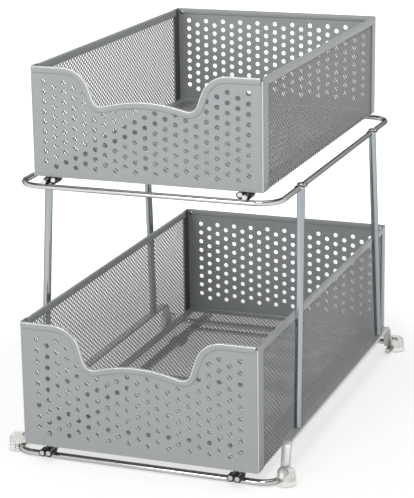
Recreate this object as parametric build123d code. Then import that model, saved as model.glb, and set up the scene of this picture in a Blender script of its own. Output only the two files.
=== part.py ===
# Two-tier under sink organizer: a tall wire frame with two perforated steel baskets
# that slide forward on wire rails. Millimetres, +Z up, origin on the floor under the
# middle of the frame, front of the baskets towards -Y.
import os
from math import atan, degrees

from build123d import *

# Baskets: outside width, depth and height, and the share of the depth that pulls out
upper_width = 240.0
upper_depth = 397.0
upper_height = 109.5
lower_width = 251.5
lower_depth = 466.0
lower_height = 129.0
travel_share = 0.73
upper_basket_z = 289.5

# Sheet steel of the baskets
sheet = 1.2
flange_width = 15.0
panel_corner = 2.0
bead_width = 6.5
bead_height = 1.0
rim_height = 8.0
seam_width = 10.0

# Expanded metal of the walls and floors, with its fine mesh kept as a plain grid
mesh_sheet = 1.0
mesh_bar = 12.0
mesh_columns = 8
wall_mesh_rows = 2
floor_mesh_rows = 4

# Perforation: staggered holes in columns, every second column half a pitch lower
hole_columns = 21
hole_rows = 9
hole_radius = 2.6
hole_sides = 4
hole_edge = 1.5
upper_hole_margins = (14.5, 9.5, 16.0)
lower_hole_margins = (18.5, 12.0, 18.0)

# Scoop in the front panels: its corners before rounding, as shares of the panel's width
# from the middle and of its height from the top, and their radii as shares of the width
scoop_shoulder_share = 0.271
scoop_trough_share = 0.2146
scoop_trough_depth_share = 0.3425
scoop_middle_depth_share = 0.237
shoulder_radius_share = 0.114
trough_radius_share = 0.041
middle_radius_share = 0.58

# Wires: frame loop, base rod, sliding wires; radii are measured to the flats
wire_sides = 8
loop_radius = 2.75
base_radius = 3.2
slide_radius = 2.5
hanger_radius = 2.0
wire_clearance = 0.4
rail_inset = 31.0
slide_spacing = 7.0
runner_reach = 4.0
hanger_share = 0.36

# Frame: how far the loop and the base rods stand out past the baskets, or stay inside them
loop_side_margin = 15.5
loop_end_margin = 8.0
loop_corner = 24.0
base_side_margin = 15.25
base_end_inset = 8.5
base_corner = 20.0
base_height = 5.5
strip_inset = 1.5
strip_width = 10.0
strip_thickness = 3.0
strip_height = 36.5
strip_bend = 7.0
leg_inset = 37.5
front_leg_run = 7.0
rear_leg_run = 16.0
stub_length = 15.0

# Posts and their screws
post_sides = 16
post_radius = 4.0
post_bore = 2.5
post_top_share = 0.63
post_foot_share = 0.677
pad_length = 15.0
pad_width = 11.0
pad_thickness = 3.2
screw_sides = 8
screw_radius = 1.6
screw_grip = 9.0
screw_head_radius = 4.4
screw_head_height = 2.4
screw_taper = 35

# Nylon guides that hold a rail and a runner side by side
guide_length = 20.0
guide_wall = 1.5
guide_snap = 2.0
guide_clearance = 0.35
guide_gap = 1.0

# Clear bumper feet
foot_sides = 16
foot_outset = 4.0
front_foot_inset = 17.0
rear_foot_inset = 11.0
foot_skirt_radius = 11.0
foot_skirt_height = 1.2
foot_head_radius = 9.5
foot_top_radius = 6.5
foot_height = 17.0

# Places that follow from the sizes above
loop_half_width = upper_width / 2 + loop_side_margin
loop_half_length = upper_depth / 2 + loop_end_margin
base_half_width = lower_width / 2 + base_side_margin
base_half_length = lower_depth / 2 - base_end_inset
rail_x = loop_half_width - rail_inset
runner_x = rail_x - slide_spacing
upper_runner_end = upper_depth / 2 + runner_reach
lower_runner_end = lower_depth / 2 + runner_reach
strip_x = base_half_width - strip_inset
leg_top_y = base_half_length - leg_inset
post_top_y = post_top_share * loop_half_length
post_foot_y = post_foot_share * base_half_length
foot_x = base_half_width + foot_outset
lower_basket_z = base_height + base_radius + wire_clearance + 2 * (slide_radius + hanger_radius)
loop_z = upper_basket_z - 2 * slide_radius - wire_clearance - loop_radius
upper_runner_z = upper_basket_z - slide_radius
upper_rail_z = loop_z + loop_radius + slide_radius
lower_runner_z = lower_basket_z - 2 * hanger_radius - slide_radius
lower_rail_z = base_height + base_radius + slide_radius
post_top_z = loop_z - pad_thickness / 2
post_foot_z = strip_height + strip_thickness / 2

os.makedirs("parts", exist_ok=True)


def save(part, name):
    part.label = name
    export_step(part, f"parts/{name}.step")


def round_section(radius, sides):
    """Many-sided stand-in for a circle, with a flat on each axis."""
    return RegularPolygon(radius, sides, major_radius=False, rotation=180 / sides)


def rod(start, end, radius):
    """Straight wire between two points on a line along X or Y."""
    axis = Vector(*end) - Vector(*start)
    return extrude(Plane(origin=start, z_dir=axis) * round_section(radius, wire_sides), axis.length)


def bent_rod(path, radius):
    """Wire that follows a path of lines and arcs."""
    return sweep(Plane(origin=path @ 0, z_dir=path % 0) * round_section(radius, wire_sides), path=path)


# Perforated panels

def scooped_sheet(width, height, spread):
    """Sheet with a rounded scoop in its top edge, spread past the other three edges."""
    shoulder = scoop_shoulder_share * width
    trough = (scoop_trough_share * width, (1 - scoop_trough_depth_share) * height)
    middle = (0, (1 - scoop_middle_depth_share) * height)
    half = width / 2 + spread
    face = make_face(Polyline(
        (-half, -spread), (-half, height), (-shoulder, height), (-trough[0], trough[1]), middle,
        trough, (shoulder, height), (half, height), (half, -spread), close=True,
    ))
    for x, radius_share in (
        (shoulder, shoulder_radius_share),
        (trough[0], trough_radius_share),
        (0, middle_radius_share),
    ):
        corners = [v for v in face.vertices() if abs(abs(v.X) - x) < sheet and v.Y > 0]
        face = fillet(corners, radius_share * width)
    return face


def hole_outlines(width, height, margins, clear_area):
    """Staggered columns of holes, with those left out that would meet the scoop's border."""
    side, bottom, top = margins
    column_pitch = (width - 2 * side) / (hole_columns - 1)
    row_pitch = (height - bottom - top) / (hole_rows - 1 / 2)
    outlines = []
    for column in range(hole_columns):
        x = side - width / 2 + column * column_pitch
        drop = (column % 2) * row_pitch / 2
        for row in range(hole_rows):
            place = Pos(x, height - top - drop - row * row_pitch)
            if clear_area.is_inside(place.position):
                outlines.append((place * RegularPolygon(hole_radius, hole_sides)).wire())
    return outlines


def front_face(width, height, margins):
    """Perforated outline of a front panel, and the raised border along its top edge."""
    spread = 2 * (bead_width + hole_radius + hole_edge)
    wide = scooped_sheet(width, height, spread)
    outline = wide & Pos(0, height / 2) * RectangleRounded(width, height, panel_corner)
    border = outline - offset(wide, -bead_width, kind=Kind.ARC)
    clear_area = offset(wide, -bead_width - hole_radius - hole_edge, kind=Kind.ARC).face()
    holes = hole_outlines(width, height, margins, clear_area)
    return Face(outline.face().outer_wire(), holes), border


def back_face(width, height):
    """Outline of a back panel, and the raised border along its top edge."""
    outline = Pos(0, height / 2) * RectangleRounded(width, height, panel_corner)
    border = outline & Pos(0, height - bead_width / 2) * Rectangle(width, bead_width)
    return outline, border


def panel(face, border, width, height):
    """Upright sheet with folded side flanges, its outer face on the XZ plane."""
    body = extrude(Plane.XZ * face, -sheet)
    body += extrude(Plane.XZ * border, bead_height)
    flange = Pos((width - sheet) / 2, flange_width / 2, height / 2) * Box(
        sheet, flange_width, height - 2 * panel_corner
    )
    return body + flange + mirror(flange, Plane.YZ)


# Basket

def mesh_net(length, height, rows, end_edge, bottom_edge, top_edge):
    """Flat sheet lying along X, from Y zero up, with a grid of openings inside its edges."""
    column_pitch = (length - 2 * end_edge + mesh_bar) / mesh_columns
    row_pitch = (height - bottom_edge - top_edge + mesh_bar) / rows
    opening = Rectangle(column_pitch - mesh_bar, row_pitch - mesh_bar)
    middle = Pos(0, (height + bottom_edge - top_edge) / 2)
    spots = GridLocations(column_pitch, row_pitch, mesh_columns, rows)
    openings = [(middle * spot * opening).wire() for spot in spots]
    outline = Pos(0, height / 2) * Rectangle(length, height)
    return extrude(Face(outline.face().outer_wire(), openings), mesh_sheet)


def basket(name, width, depth, height, floor_z, runner_z, runner_end, margins, hangers):
    half_w = width / 2
    half_d = depth / 2
    front = panel(*front_face(width, height, margins), width, height)
    save(Pos(0, -half_d, floor_z) * front, f"{name}_front_panel")
    back = panel(*back_face(width, height), width, height)
    save(Pos(0, half_d, floor_z) * Rot(0, 0, 180) * back, f"{name}_back_panel")

    mesh_x = half_w - sheet - mesh_sheet / 2
    mesh_length = depth - 2 * sheet
    mesh_height = height - sheet
    wall = mesh_net(mesh_length, mesh_height, wall_mesh_rows, flange_width, seam_width, rim_height)
    mesh = Plane(origin=(mesh_x - mesh_sheet / 2, 0, floor_z), x_dir=(0, 1, 0), z_dir=(1, 0, 0)) * wall
    rim = side_rim(width, depth, height, floor_z)
    floor_width = 2 * mesh_x - mesh_sheet
    floor = mesh_net(mesh_length, floor_width, floor_mesh_rows, seam_width, seam_width, seam_width)
    floor = Pos(0, 0, floor_z) * Rot(0, 0, 90) * Pos(0, -floor_width / 2, 0) * floor
    seam = Rectangle(2 * mesh_x - mesh_sheet, mesh_length)
    seam -= Rectangle(2 * (mesh_x - seam_width), mesh_length - 2 * seam_width)
    seam = Pos(0, 0, floor_z + mesh_sheet) * extrude(seam, sheet)

    runner = rod((runner_x, -runner_end, runner_z), (runner_x, runner_end, runner_z), slide_radius)
    for side, flip in (("right", False), ("left", True)):
        for piece, solid in (("mesh", mesh), ("rim", rim), ("runner", runner)):
            save(mirror(solid, Plane.YZ) if flip else solid, f"{name}_{side}_{piece}")
    save(floor, f"{name}_floor_mesh")
    save(seam, f"{name}_floor_seam")
    if hangers:
        reach = runner_x + slide_radius
        spots = (-hanger_share * depth, 0, hanger_share * depth)
        z = floor_z - hanger_radius
        save(Compound([rod((-reach, y, z), (reach, y, z), hanger_radius) for y in spots]),
             f"{name}_hangers")


def side_rim(width, depth, height, floor_z):
    """Folded strip that grips the top of the mesh between the two corner flanges."""
    grip = 2 * sheet + mesh_sheet
    section = Rectangle(grip, rim_height) - Pos(0, -sheet / 2) * Rectangle(mesh_sheet, rim_height - sheet)
    strip = extrude(Plane.XZ * section, depth / 2 - flange_width, both=True)
    return Pos((width - grip) / 2, 0, floor_z + height - rim_height / 2) * strip


# Sliding guides

def guide(rail_z, runner_z, front_y, holds_rail):
    """Nylon block round a rail and a runner, snug on one of them and loose on the other."""
    held_z = rail_z if holds_rail else runner_z
    top = held_z + guide_snap
    bottom = rail_z - slide_radius - guide_wall
    half = slide_spacing / 2 + slide_radius + guide_wall
    middle = (rail_x + runner_x) / 2
    section = Pos(middle, (top + bottom) / 2) * Rectangle(2 * half, top - bottom)
    rail_gap = 0 if holds_rail else guide_clearance
    runner_gap = guide_clearance - rail_gap
    section -= Pos(rail_x, rail_z) * round_section(slide_radius + rail_gap, wire_sides)
    section -= Pos(runner_x, runner_z) * round_section(slide_radius + runner_gap, wire_sides)
    return Pos(0, front_y, 0) * extrude(Plane.XZ * section, -guide_length)


# Frame

def screw(place, grip, up):
    """Domed screw, seated on a pad and reaching into the end of a post."""
    head = extrude(round_section(screw_head_radius, wire_sides), screw_head_height, taper=screw_taper)
    shank = extrude(round_section(screw_radius, screw_sides), -grip - screw_grip)
    return Pos(*place) * Rot(180 if up else 0, 0, 0) * Pos(0, 0, grip) * (head + shank)


def screw_hole(x, y, z, depth):
    """Hole for a screw, through whatever lies within a depth of one height."""
    return Pos(x, y, z) * extrude(round_section(screw_radius, screw_sides), depth, both=True)


def post_line(way):
    top = Vector(loop_half_width, way * post_top_y, post_top_z)
    foot = Vector(strip_x, way * post_foot_y, post_foot_z)
    return top, foot


def post(way):
    top, foot = post_line(way)
    slope = top - foot
    section = Pos(*foot) * (round_section(post_radius, post_sides) - round_section(post_bore, post_sides))
    return extrude(section, slope.length, dir=slope.normalized())


def loop():
    """Rounded wire loop that carries the upper tier, pressed flat where the posts meet it."""
    path = RectangleRounded(2 * loop_half_width, 2 * loop_half_length, loop_corner).wire()
    wire = Pos(0, 0, loop_z) * bent_rod(path, loop_radius)
    for x in (-loop_half_width, loop_half_width):
        for y in (-post_top_y, post_top_y):
            place = Pos(x, y, loop_z)
            wire -= place * Box(2 * loop_radius, pad_length, 2 * loop_radius)
            wire += place * Box(pad_width, pad_length, pad_thickness)
            wire -= screw_hole(x, y, loop_z, loop_radius)
    return wire


def base_path(way):
    end_y = way * (base_half_length - base_corner - stub_length)
    return FilletPolyline(
        (base_half_width, end_y, base_height),
        (base_half_width, way * base_half_length, base_height),
        (-base_half_width, way * base_half_length, base_height),
        (-base_half_width, end_y, base_height),
        radius=base_corner,
    )


def side_strip():
    """Flat strip under the post feet, bent down at both ends onto the base rods."""
    line = FilletPolyline(
        (-leg_top_y - front_leg_run, base_height),
        (-leg_top_y, strip_height),
        (leg_top_y, strip_height),
        (leg_top_y + rear_leg_run, base_height),
        radius=strip_bend,
    )
    band = extrude(Plane.YZ * trace(line, strip_thickness), strip_width / 2, both=True)
    strip = Pos(strip_x, 0, 0) * band
    for way in (-1, 1):
        strip -= screw_hole(strip_x, way * post_foot_y, strip_height, strip_thickness)
    rod_top = base_height + base_radius
    return strip - Pos(strip_x, 0, rod_top / 2) * Box(2 * strip_width, 3 * leg_top_y, rod_top)


def foot(way):
    """Clear bumper clipped over the bend of the base rod from outside."""
    profile = (
        (0, foot_skirt_radius),
        (foot_skirt_height, foot_skirt_radius),
        (base_height, foot_head_radius),
        (base_height + base_radius, foot_head_radius),
        (foot_height, foot_top_radius),
    )
    foot_inset = front_foot_inset if way < 0 else rear_foot_inset
    foot_y = way * (base_half_length - foot_inset)
    body = Part()
    for (low_z, wide), (high_z, narrow) in zip(profile, profile[1:]):
        slope = degrees(atan((wide - narrow) / (high_z - low_z)))
        body += Pos(foot_x, foot_y, low_z) * extrude(
            round_section(wide, foot_sides), high_z - low_z, taper=slope
        )
    mouth = Box(base_half_width, base_corner + stub_length, 2 * base_radius)
    return body - Pos(base_half_width / 2 + base_radius, foot_y, base_height) * mouth


def both_sides(solid, name):
    save(solid, f"{name}_right")
    save(mirror(solid, Plane.YZ), f"{name}_left")


def frame():
    for name, length, z in (
        ("upper_rail", max(loop_half_length + loop_radius, upper_runner_end), upper_rail_z),
        ("lower_rail", max(base_half_length + base_radius, lower_runner_end), lower_rail_z),
    ):
        both_sides(rod((rail_x, -length, z), (rail_x, length, z), slide_radius), name)
    save(loop(), "upper_loop")
    top_screws = []
    foot_screws = []
    for way, end in ((-1, "front"), (1, "rear")):
        save(bent_rod(base_path(way), base_radius), f"base_rod_{end}")
        both_sides(post(way), f"post_{end}")
        both_sides(foot(way), f"foot_{end}")
        top, base_point = post_line(way)
        top_screws.append(screw(top, pad_thickness, False))
        foot_screws.append(screw(base_point, strip_thickness, True))
    both_sides(side_strip(), "base_side")
    save(Compound(top_screws + [mirror(one, Plane.YZ) for one in top_screws]), "loop_screws")
    save(Compound(foot_screws + [mirror(one, Plane.YZ) for one in foot_screws]), "base_screws")


def guides(name, half_length, wire_radius, rail_z, runner_z, runner_end, travel):
    """Front guides sit on the frame's rails, back guides on the basket's runners."""
    front_y = guide_gap - runner_end
    back_y = front_y + guide_length + travel + guide_gap
    across = Box(2 * loop_half_width, 2 * (wire_radius + guide_clearance), 2 * wire_radius)
    front = guide(rail_z, runner_z, front_y, True)
    front -= Pos(0, -half_length, rail_z - slide_radius - wire_radius) * across
    both_sides(front, f"{name}_front_guide")
    both_sides(guide(rail_z, runner_z, back_y, False), f"{name}_back_guide")


frame()
guides("upper", loop_half_length, loop_radius, upper_rail_z, upper_runner_z, upper_runner_end,
       travel_share * upper_depth)
guides("lower", base_half_length, base_radius, lower_rail_z, lower_runner_z, lower_runner_end,
       travel_share * lower_depth)
basket("upper_basket", upper_width, upper_depth, upper_height, upper_basket_z,
       upper_runner_z, upper_runner_end, upper_hole_margins, False)
basket("lower_basket", lower_width, lower_depth, lower_height, lower_basket_z,
       lower_runner_z, lower_runner_end, lower_hole_margins, True)
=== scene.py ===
import math

import bmesh
import bpy
from mathutils import Matrix, Vector


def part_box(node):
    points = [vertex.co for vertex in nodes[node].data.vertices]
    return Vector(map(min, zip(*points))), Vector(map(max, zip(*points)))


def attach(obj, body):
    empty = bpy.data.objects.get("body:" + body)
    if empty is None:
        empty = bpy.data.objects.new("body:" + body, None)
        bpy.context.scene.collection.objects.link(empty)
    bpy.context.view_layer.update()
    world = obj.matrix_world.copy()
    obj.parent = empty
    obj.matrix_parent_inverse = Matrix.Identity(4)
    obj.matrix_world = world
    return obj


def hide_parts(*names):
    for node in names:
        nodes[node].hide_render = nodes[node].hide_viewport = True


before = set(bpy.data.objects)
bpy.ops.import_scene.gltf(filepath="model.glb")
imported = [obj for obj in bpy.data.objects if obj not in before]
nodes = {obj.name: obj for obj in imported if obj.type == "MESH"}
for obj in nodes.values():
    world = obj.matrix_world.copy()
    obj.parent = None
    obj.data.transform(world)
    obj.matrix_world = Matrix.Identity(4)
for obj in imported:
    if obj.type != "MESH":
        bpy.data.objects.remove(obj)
scene = bpy.context.scene
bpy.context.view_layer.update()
print("frame loaded,", len(nodes), "nodes")


# small helpers for node trees

def feed(tree, socket, value):
    if isinstance(value, bpy.types.NodeSocket):
        tree.links.new(value, socket)
    else:
        socket.default_value = value


def addNode(tree, kind, values=None, **settings):
    made = tree.nodes.new(kind)
    for key, value in settings.items():
        setattr(made, key, value)
    for key, value in (values or {}).items():
        feed(tree, made.inputs[key], value)
    return made


def nodeOut(tree, kind, values=None, **settings):
    return addNode(tree, kind, values, **settings).outputs[0]


def maths(tree, operation, *values):
    return nodeOut(tree, "ShaderNodeMath", dict(enumerate(values)), operation=operation)


def vectorMaths(tree, operation, *values):
    return nodeOut(tree, "ShaderNodeVectorMath", dict(enumerate(values)), operation=operation)


def vector(tree, x, y, z):
    return nodeOut(tree, "ShaderNodeCombineXYZ", {0: x, 1: y, 2: z})


def greyLevel(tree, level):
    return nodeOut(tree, "ShaderNodeCombineColor", {0: level, 1: level, 2: level})


def pointVector(tree, name):
    return nodeOut(tree, "GeometryNodeInputNamedAttribute", {"Name": name},
                   data_type="FLOAT_VECTOR")


def allOf(tree, *parts):
    made = addNode(tree, "GeometryNodeJoinGeometry")
    for part in parts:
        tree.links.new(part, made.inputs[0])
    return made.outputs[0]


def newTree(name, sockets):
    tree = bpy.data.node_groups.new(name, "GeometryNodeTree")
    face = tree.interface
    face.new_socket("Geometry", in_out="INPUT", socket_type="NodeSocketGeometry")
    for label, kind in sockets.items():
        face.new_socket(label, in_out="INPUT", socket_type="NodeSocket" + kind)
    face.new_socket("Geometry", in_out="OUTPUT", socket_type="NodeSocketGeometry")
    return tree, addNode(tree, "NodeGroupInput").outputs


def closeTree(tree, geometry, material):
    # every tree ends the same way: real geometry, then its material
    solid = nodeOut(tree, "GeometryNodeRealizeInstances", {"Geometry": geometry})
    painted = nodeOut(tree, "GeometryNodeSetMaterial", {"Geometry": solid, "Material": material})
    addNode(tree, "NodeGroupOutput", {0: painted})


def runTree(tree, mesh, values):
    holder = bpy.data.objects.new("treeHolder", mesh)
    scene.collection.objects.link(holder)
    modifier = holder.modifiers.new("tree", "NODES")
    modifier.node_group = tree
    for item in tree.interface.items_tree:
        if item.item_type == "SOCKET" and item.in_out == "INPUT" and item.name in values:
            modifier[item.identifier] = values[item.name]
    bpy.context.view_layer.update()
    view = bpy.context.evaluated_depsgraph_get()
    made = bpy.data.meshes.new_from_object(holder.evaluated_get(view))
    bpy.data.objects.remove(holder)
    return made


# small helpers for meshes and paths

def roundCorners(points, radii, closed=False, segments=10):
    # an arc in place of each corner; radii is one radius, or one for each point
    path = []
    count = len(points)
    for i, point in enumerate(points):
        radius = radii[i] if isinstance(radii, (list, tuple)) else radii
        if radius == 0 or (not closed and i in (0, count - 1)):
            path.append(Vector(point))
            continue
        before = (points[i - 1] - point).normalized()
        after = (points[(i + 1) % count] - point).normalized()
        half = before.angle(after) / 2
        reach = radius / math.tan(half)
        centre = point + (before + after).normalized() * (radius / math.sin(half))
        turn = math.pi - 2 * half
        start = point + before * reach - centre
        end = point + after * reach - centre
        side = (end - start * math.cos(turn)) / math.sin(turn)
        for k in range(segments + 1):
            angle = turn * k / segments
            path.append(centre + start * math.cos(angle) + side * math.sin(angle))
    return path


def bothSides(x, *points):
    # one path at the left and the same one at the right; points are (y, z)
    return [[Vector((side * x, y, z)) for y, z in points] for side in (-1, 1)]


def pathMesh(paths, closed=False, spread=None):
    # edges along each path; spread widens or flattens a strand about its own centre line
    mesh = bpy.data.meshes.new("path")
    points, edges = [], []
    for path in paths:
        first = len(points)
        points += [Vector(p) for p in path]
        edges += [(i, i + 1) for i in range(first, len(points) - 1)]
        if closed:
            edges.append((len(points) - 1, first))
    mesh.from_pydata(points, edges, [])
    factors = mesh.attributes.new("spread", "FLOAT_VECTOR", "POINT")
    for i, point in enumerate(points):
        factors.data[i].vector = spread(point) if spread else (1, 1, 1)
    return mesh


def pointMesh(points, turns):
    mesh = bpy.data.meshes.new("points")
    mesh.from_pydata(points, [], [])
    attribute = mesh.attributes.new("turn", "FLOAT_VECTOR", "POINT")
    for i, turn in enumerate(turns):
        attribute.data[i].vector = turn
    return mesh


def lathe(profile, segments):
    # profile is (radius, height) from the bottom of the axis to its top
    points, faces, rings = [], [], []
    for radius, height in profile:
        if radius == 0:
            rings.append([len(points)] * segments)
            points.append((0, 0, height))
            continue
        rings.append(list(range(len(points), len(points) + segments)))
        for k in range(segments):
            angle = 2 * math.pi * k / segments
            points.append((radius * math.cos(angle), radius * math.sin(angle), height))
    for low, high in zip(rings, rings[1:]):
        for k in range(segments):
            after = (k + 1) % segments
            corners = [low[k], low[after], high[after], high[k]]
            faces.append(list(dict.fromkeys(corners)))  # a pole leaves a triangle
    mesh = bpy.data.meshes.new("lathe")
    mesh.from_pydata(points, [], faces)
    return mesh


def meshFrom(whole, name):
    mesh = bpy.data.meshes.new(name)
    whole.to_mesh(mesh)
    whole.free()
    return mesh


def joined(meshes):
    whole = bmesh.new()
    for mesh in meshes:
        whole.from_mesh(mesh)
    return meshFrom(whole, "joined")


def turned(degrees, axis):
    return Matrix.Rotation(math.radians(degrees), 4, axis)


def placed(mesh, matrix):
    mesh.transform(matrix)
    return mesh


def addPiece(name, mesh, finish, body, replaced=(), sharp=35):
    # sharp is the angle, in degrees, past which an edge is shaded hard
    mesh.name = name
    mesh.materials.clear()
    mesh.materials.append(paint[finish])
    for polygon in mesh.polygons:
        polygon.material_index = 0
    mesh.shade_smooth()
    mesh.set_sharp_from_angle(angle=math.radians(sharp))
    piece = bpy.data.objects.new(name, mesh)
    scene.collection.objects.link(piece)
    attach(piece, body)
    if replaced:
        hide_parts(*replaced)


# materials

coatGrain = {"cloudDetail": 3.0, "speckDetail": 1.0, "bumpDistance": 0.0002}


def makeCoatGroup():
    # cloudy tone, fine speck and a soft orange-peel bump for sprayed and plated metal
    tree = bpy.data.node_groups.new("coatTexture", "ShaderNodeTree")
    face = tree.interface
    for label, kind in (
        ("Tone", "Color"), ("Cloud Size", "Float"), ("Cloud Amount", "Float"),
        ("Speck Size", "Float"), ("Speck Amount", "Float"), ("Roughness", "Float"),
        ("Roughness Spread", "Float"), ("Bump", "Float"),
    ):
        face.new_socket(label, in_out="INPUT", socket_type="NodeSocket" + kind)
    face.new_socket("Color", in_out="OUTPUT", socket_type="NodeSocketColor")
    face.new_socket("Roughness", in_out="OUTPUT", socket_type="NodeSocketFloat")
    face.new_socket("Normal", in_out="OUTPUT", socket_type="NodeSocketVector")
    entry = addNode(tree, "NodeGroupInput").outputs
    place = addNode(tree, "ShaderNodeTexCoord").outputs["Object"]
    cloudScale = maths(tree, "DIVIDE", 1, entry["Cloud Size"])
    speckScale = maths(tree, "DIVIDE", 1, entry["Speck Size"])
    cloud = addNode(tree, "ShaderNodeTexNoise", {
        "Vector": place, "Scale": cloudScale, "Detail": coatGrain["cloudDetail"]}).outputs["Fac"]
    speck = addNode(tree, "ShaderNodeTexNoise", {
        "Vector": place, "Scale": speckScale, "Detail": coatGrain["speckDetail"]}).outputs["Fac"]
    cloudSwing = maths(tree, "SUBTRACT", cloud, 0.5)
    speckSwing = maths(tree, "SUBTRACT", speck, 0.5)
    cloudPart = maths(tree, "MULTIPLY", cloudSwing, entry["Cloud Amount"])
    speckPart = maths(tree, "MULTIPLY", speckSwing, entry["Speck Amount"])
    level = maths(tree, "ADD", 1, maths(tree, "ADD", cloudPart, speckPart))
    mixed = addNode(tree, "ShaderNodeMix", {0: 1.0, 6: entry["Tone"], 7: greyLevel(tree, level)},
                    data_type="RGBA", blend_type="MULTIPLY")
    roughPart = maths(tree, "MULTIPLY", cloudSwing, entry["Roughness Spread"])
    rough = maths(tree, "ADD", entry["Roughness"], roughPart)
    bump = nodeOut(tree, "ShaderNodeBump", {
        "Strength": entry["Bump"], "Distance": coatGrain["bumpDistance"], "Height": speck})
    addNode(tree, "NodeGroupOutput", {
        "Color": mixed.outputs[2], "Roughness": rough, "Normal": bump})
    return tree


coatGroup = makeCoatGroup()


def coatedMaterial(name, look):
    material = bpy.data.materials.new(name)
    material.use_nodes = True
    tree = material.node_tree
    shader = tree.nodes["Principled BSDF"]
    coat = addNode(tree, "ShaderNodeGroup", node_tree=coatGroup)
    for label, value in look["texture"].items():
        coat.inputs[label].default_value = value
    for label in ("Base Color", "Roughness", "Normal"):
        tree.links.new(coat.outputs[label.replace("Base ", "")], shader.inputs[label])
    for label, value in look["shader"].items():
        shader.inputs[label].default_value = value
    return material


finishes = {
    "silverCoat": {
        "slot": "sheet_steel",
        "texture": {"Tone": (0.375, 0.39, 0.395, 1), "Cloud Size": 0.09, "Cloud Amount": 0.10,
                    "Speck Size": 0.0007, "Speck Amount": 0.16, "Roughness": 0.38,
                    "Roughness Spread": 0.12, "Bump": 0.10},
        "shader": {"Metallic": 0.12, "IOR": 1.36},
    },
    "meshCoat": {
        "slot": "mesh_steel",
        "texture": {"Tone": (0.385, 0.385, 0.39, 1), "Cloud Size": 0.05, "Cloud Amount": 0.10,
                    "Speck Size": 0.001, "Speck Amount": 0.16, "Roughness": 0.45,
                    "Roughness Spread": 0.10, "Bump": 0.08},
        "shader": {"Metallic": 0.45, "IOR": 1.5},
    },
    # painted highlight: a bright coat for the lines that stand in for edge highlights
    "paintedHighlight": {
        "slot": "sheet_steel",
        "texture": {"Tone": (0.66, 0.68, 0.68, 1), "Cloud Size": 0.02, "Cloud Amount": 0.30,
                    "Speck Size": 0.0008, "Speck Amount": 0.20, "Roughness": 0.34,
                    "Roughness Spread": 0.16, "Bump": 0.05},
        "shader": {"Metallic": 0.8},
    },
    # painted shade: a dark coat for the strips that stand in for shade inside the back folds
    "paintedShade": {
        "slot": "sheet_steel",
        "texture": {"Tone": (0.10, 0.10, 0.105, 1), "Cloud Size": 0.03, "Cloud Amount": 0.20,
                    "Speck Size": 0.0008, "Speck Amount": 0.18, "Roughness": 0.42,
                    "Roughness Spread": 0.12, "Bump": 0.08},
        "shader": {"Metallic": 0.12, "IOR": 1.36},
    },
    "brightWire": {
        "slot": "wire_steel",
        "texture": {"Tone": (0.53, 0.54, 0.53, 1), "Cloud Size": 0.03, "Cloud Amount": 0.14,
                    "Speck Size": 0.0009, "Speck Amount": 0.10, "Roughness": 0.16,
                    "Roughness Spread": 0.10, "Bump": 0.05},
        "shader": {"Metallic": 1.0, "Specular Tint": (0.10, 0.10, 0.10, 1)},
    },
    "postCoat": {
        "slot": "frame_steel",
        "texture": {"Tone": (0.31, 0.335, 0.35, 1), "Cloud Size": 0.04, "Cloud Amount": 0.10,
                    "Speck Size": 0.0007, "Speck Amount": 0.12, "Roughness": 0.14,
                    "Roughness Spread": 0.06, "Bump": 0.03},
        "shader": {"Metallic": 1.0, "Specular Tint": (0.16, 0.16, 0.17, 1)},
    },
    "stripCoat": {
        "slot": "frame_steel",
        "texture": {"Tone": (0.55, 0.56, 0.56, 1), "Cloud Size": 0.03, "Cloud Amount": 0.12,
                    "Speck Size": 0.0008, "Speck Amount": 0.12, "Roughness": 0.34,
                    "Roughness Spread": 0.10, "Bump": 0.06},
        "shader": {"Metallic": 0.55},
    },
    "screwSteel": {
        "slot": "screw_steel",
        "texture": {"Tone": (0.50, 0.50, 0.49, 1), "Cloud Size": 0.006, "Cloud Amount": 0.25,
                    "Speck Size": 0.0005, "Speck Amount": 0.12, "Roughness": 0.26,
                    "Roughness Spread": 0.16, "Bump": 0.05},
        "shader": {"Metallic": 1.0},
    },
    "blackNylon": {
        "slot": "black_nylon",
        "texture": {"Tone": (0.012, 0.012, 0.013, 1), "Cloud Size": 0.008, "Cloud Amount": 0.35,
                    "Speck Size": 0.0004, "Speck Amount": 0.30, "Roughness": 0.48,
                    "Roughness Spread": 0.20, "Bump": 0.20},
        "shader": {"Metallic": 0.0},
    },
    "clearVinyl": {
        "slot": "clear_vinyl",
        "texture": {"Tone": (0.84, 0.85, 0.81, 1), "Cloud Size": 0.006, "Cloud Amount": 0.06,
                    "Speck Size": 0.0008, "Speck Amount": 0.04, "Roughness": 0.14,
                    "Roughness Spread": 0.08, "Bump": 0.01},
        "shader": {"Metallic": 0.0, "IOR": 1.42, "Transmission Weight": 0.86},
    },
}
paint = {name: coatedMaterial(name, look) for name, look in finishes.items()}
print("materials made")


# geometry trees

weldDistance = {"strand": 1e-6, "sheet": 1e-5, "foot": 1e-5}  # points this close become one


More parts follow.
